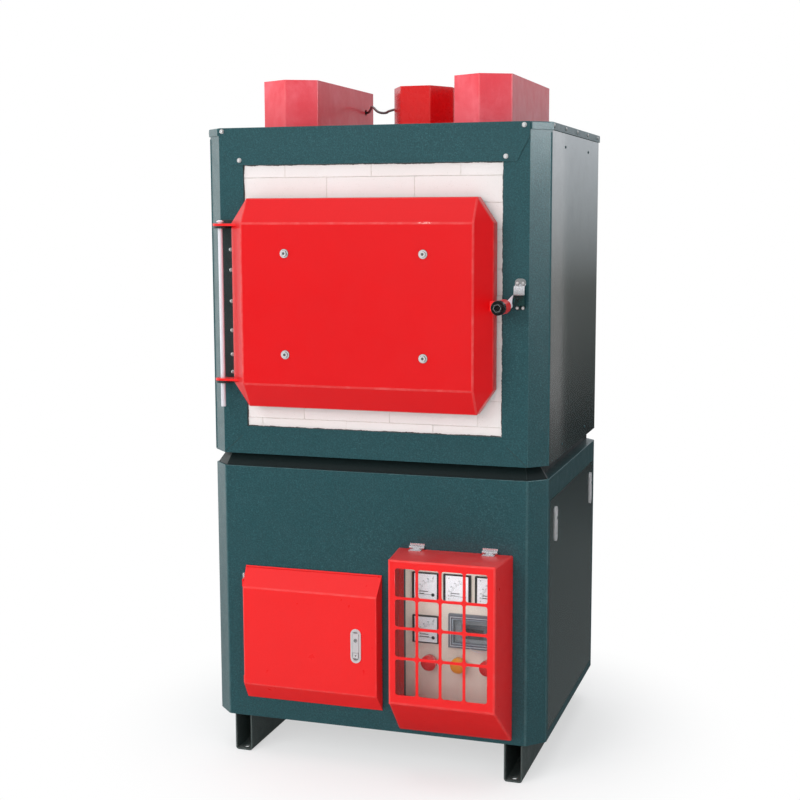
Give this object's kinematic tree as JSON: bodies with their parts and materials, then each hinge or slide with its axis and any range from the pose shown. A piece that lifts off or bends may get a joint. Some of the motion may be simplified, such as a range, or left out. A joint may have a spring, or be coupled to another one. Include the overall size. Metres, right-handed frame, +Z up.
{
  "type": "box forge furnace",
  "caption": "Floor-standing electric box forge: brick-lined heating cabinet with a side-hinged door on a control cabinet with a service door and a grille-covered instrument bay.",
  "frame": {"origin": "centre of the four foot bolts, on the floor plane under the feet", "axes": "+Z up, -Y out of the door side, +X to the right of a person facing the door"},
  "size_m": [0.9118, 0.8704, 1.7773],
  "materials": {
    "green_hammer": "hammered dark green gloss paint",
    "green_gloss": "smooth dark green gloss paint",
    "dark_paint": "dark green-grey semi-gloss paint",
    "red_gloss": "bright red gloss powder coat",
    "firebrick": null,
    "fibre": "ceramic fibre board and blanket",
    "silicon_carbide": "recrystallised silicon carbide",
    "terminal_alu": "bare aluminium clamps and straps",
    "chrome": "bright plated steel",
    "zinc": "zinc plated steel",
    "galvanised": "galvanised sheet",
    "lock_metal": "satin die-cast zinc",
    "black_plastic": "black phenolic",
    "beige_paint": "beige semi-gloss paint",
    "meter_plastic": "white dial in a black bezel",
    "grey_plastic": "grey ABS",
    "clear_pane": "clear acrylic",
    "smoke_pane": "smoked acrylic",
    "red_button": "red gloss plastic",
    "amber_button": "amber gloss plastic",
    "cable_grey": "braided grey sleeve",
    "core_steel": "laminated core and varnished windings"
  },
  "bodies": {
    "cabinet": {"base_rails": "dark_paint", "breaker_box": "grey_plastic", "button_collars": "chrome", "casing_screws": "zinc", "chamber_bricks": "firebrick", "control_gear": "galvanised", "cover_left": "red_gloss", "cover_mid": "red_gloss", "cover_right": "red_gloss", "element_terminals": "terminal_alu", "front_bricks": "firebrick", "hearth_bricks": "firebrick", "heating_elements": "silicon_carbide", "hinge_plate": "dark_paint", "hinge_rod": "chrome", "instrument_panel": "beige_paint", "insulation_blanket": "fibre", "latch_keeper": "chrome", "lid": "green_hammer", "lower_frame": "green_hammer", "lower_rear_panel": "green_gloss", "lower_side_left": "green_gloss", "neck_frame": "dark_paint", "neck_skirt": "dark_paint", "panel_meters": "meter_plastic", "roof_bricks": "firebrick", "sensor_cable": "cable_grey", "small_hinges": "chrome", "thermocouple": "terminal_alu", "top_rail": "green_hammer", "transformer": "core_steel", "upper_frame": "green_hammer", "upper_rear_panel": "green_gloss", "upper_side_panels": "green_gloss"},
    "door": {"door_pan": "red_gloss", "door_lining": "fibre", "door_back_plate": "galvanised", "door_bolts": "zinc", "door_lugs": "red_gloss", "latch_boss": "red_gloss"},
    "latch": {"latch_knob": "black_plastic", "latch_spindle": "zinc"},
    "service_door": {"service_door": "red_gloss", "service_lock": "lock_metal"},
    "service_handle": {"service_handle": "lock_metal"},
    "service_button": {"service_lock_button": "lock_metal"},
    "grille_door": {"grille_door": "red_gloss", "grille_pane": "clear_pane", "grille_hinge_leaves": "chrome"},
    "start_button_left": {"button_red_left": "red_button"},
    "amber_button": {"button_amber": "amber_button"},
    "start_button_right": {"button_red_right": "red_button"},
    "breaker_flap": {"breaker_flap": "smoke_pane"},
    "breaker_toggle": {"breaker_toggle": "black_plastic"},
    "side_panel": {"side_panel_right": "green_gloss", "side_locks": "lock_metal"},
    "side_handle_front": {"side_handle_front": "lock_metal"},
    "side_handle_rear": {"side_handle_rear": "lock_metal"},
    "side_button_front": {"side_button_front": "lock_metal"},
    "side_button_rear": {"side_button_rear": "lock_metal"}
  },
  "joints": [
    {"name": "door_swing", "type": "hinge", "parent": "cabinet", "child": "door", "pos_m": [-0.388, -0.4075, 1.2], "axis": [0, 0, -1], "range_deg": [0, 130]},
    {"name": "latch_turn", "type": "hinge", "parent": "door", "child": "latch", "pos_m": [0.358, -0.4275, 1.215], "axis": [0, 1, 0], "range_deg": [-60, 24]},
    {"name": "service_door_swing", "type": "hinge", "parent": "cabinet", "child": "service_door", "pos_m": [-0.3535, -0.374, 0.336], "axis": [0, 0, -1], "range_deg": [0, 100]},
    {"name": "service_handle_pull", "type": "hinge", "parent": "service_door", "child": "service_handle", "pos_m": [-0.031, -0.4055, 0.3675], "axis": [-1, 0, 0], "range_deg": [0, 35]},
    {"name": "service_button_press", "type": "slide", "parent": "service_door", "child": "service_button", "axis": [0, 1, 0], "range_m": [0, 0.003]},
    {"name": "grille_door_lift", "type": "hinge", "parent": "cabinet", "child": "grille_door", "pos_m": [0.22, -0.374, 0.599], "axis": [-1, 0, 0], "range_deg": [0, 90]},
    {"name": "left_button_press", "type": "slide", "parent": "cabinet", "child": "start_button_left", "axis": [0, 1, 0], "range_m": [0, 0.006]},
    {"name": "amber_button_press", "type": "slide", "parent": "cabinet", "child": "amber_button", "axis": [0, 1, 0], "range_m": [0, 0.006]},
    {"name": "right_button_press", "type": "slide", "parent": "cabinet", "child": "start_button_right", "axis": [0, 1, 0], "range_m": [0, 0.006]},
    {"name": "breaker_flap_lift", "type": "hinge", "parent": "cabinet", "child": "breaker_flap", "pos_m": [0.2635, -0.3619, 0.4187], "axis": [-1, 0, 0], "range_deg": [0, 100]},
    {"name": "breaker_toggle_flip", "type": "hinge", "parent": "cabinet", "child": "breaker_toggle", "pos_m": [0.264, -0.3315, 0.381], "axis": [-1, 0, 0], "range_deg": [0, 44]},
    {"name": "side_panel_pull", "type": "slide", "parent": "cabinet", "child": "side_panel", "axis": [1, 0, 0], "range_m": [0, 0.08]},
    {"name": "side_handle_front_pull", "type": "hinge", "parent": "side_panel", "child": "side_handle_front", "pos_m": [0.45, -0.2305, 0.682], "axis": [0, -1, 0], "range_deg": [0, 35]},
    {"name": "side_button_front_press", "type": "slide", "parent": "side_panel", "child": "side_button_front", "axis": [-1, 0, 0], "range_m": [0, 0.003]},
    {"name": "side_handle_rear_pull", "type": "hinge", "parent": "side_panel", "child": "side_handle_rear", "pos_m": [0.45, 0.2655, 0.682], "axis": [0, -1, 0], "range_deg": [0, 35]},
    {"name": "side_button_rear_press", "type": "slide", "parent": "side_panel", "child": "side_button_rear", "axis": [-1, 0, 0], "range_m": [0, 0.003]}
  ]
}
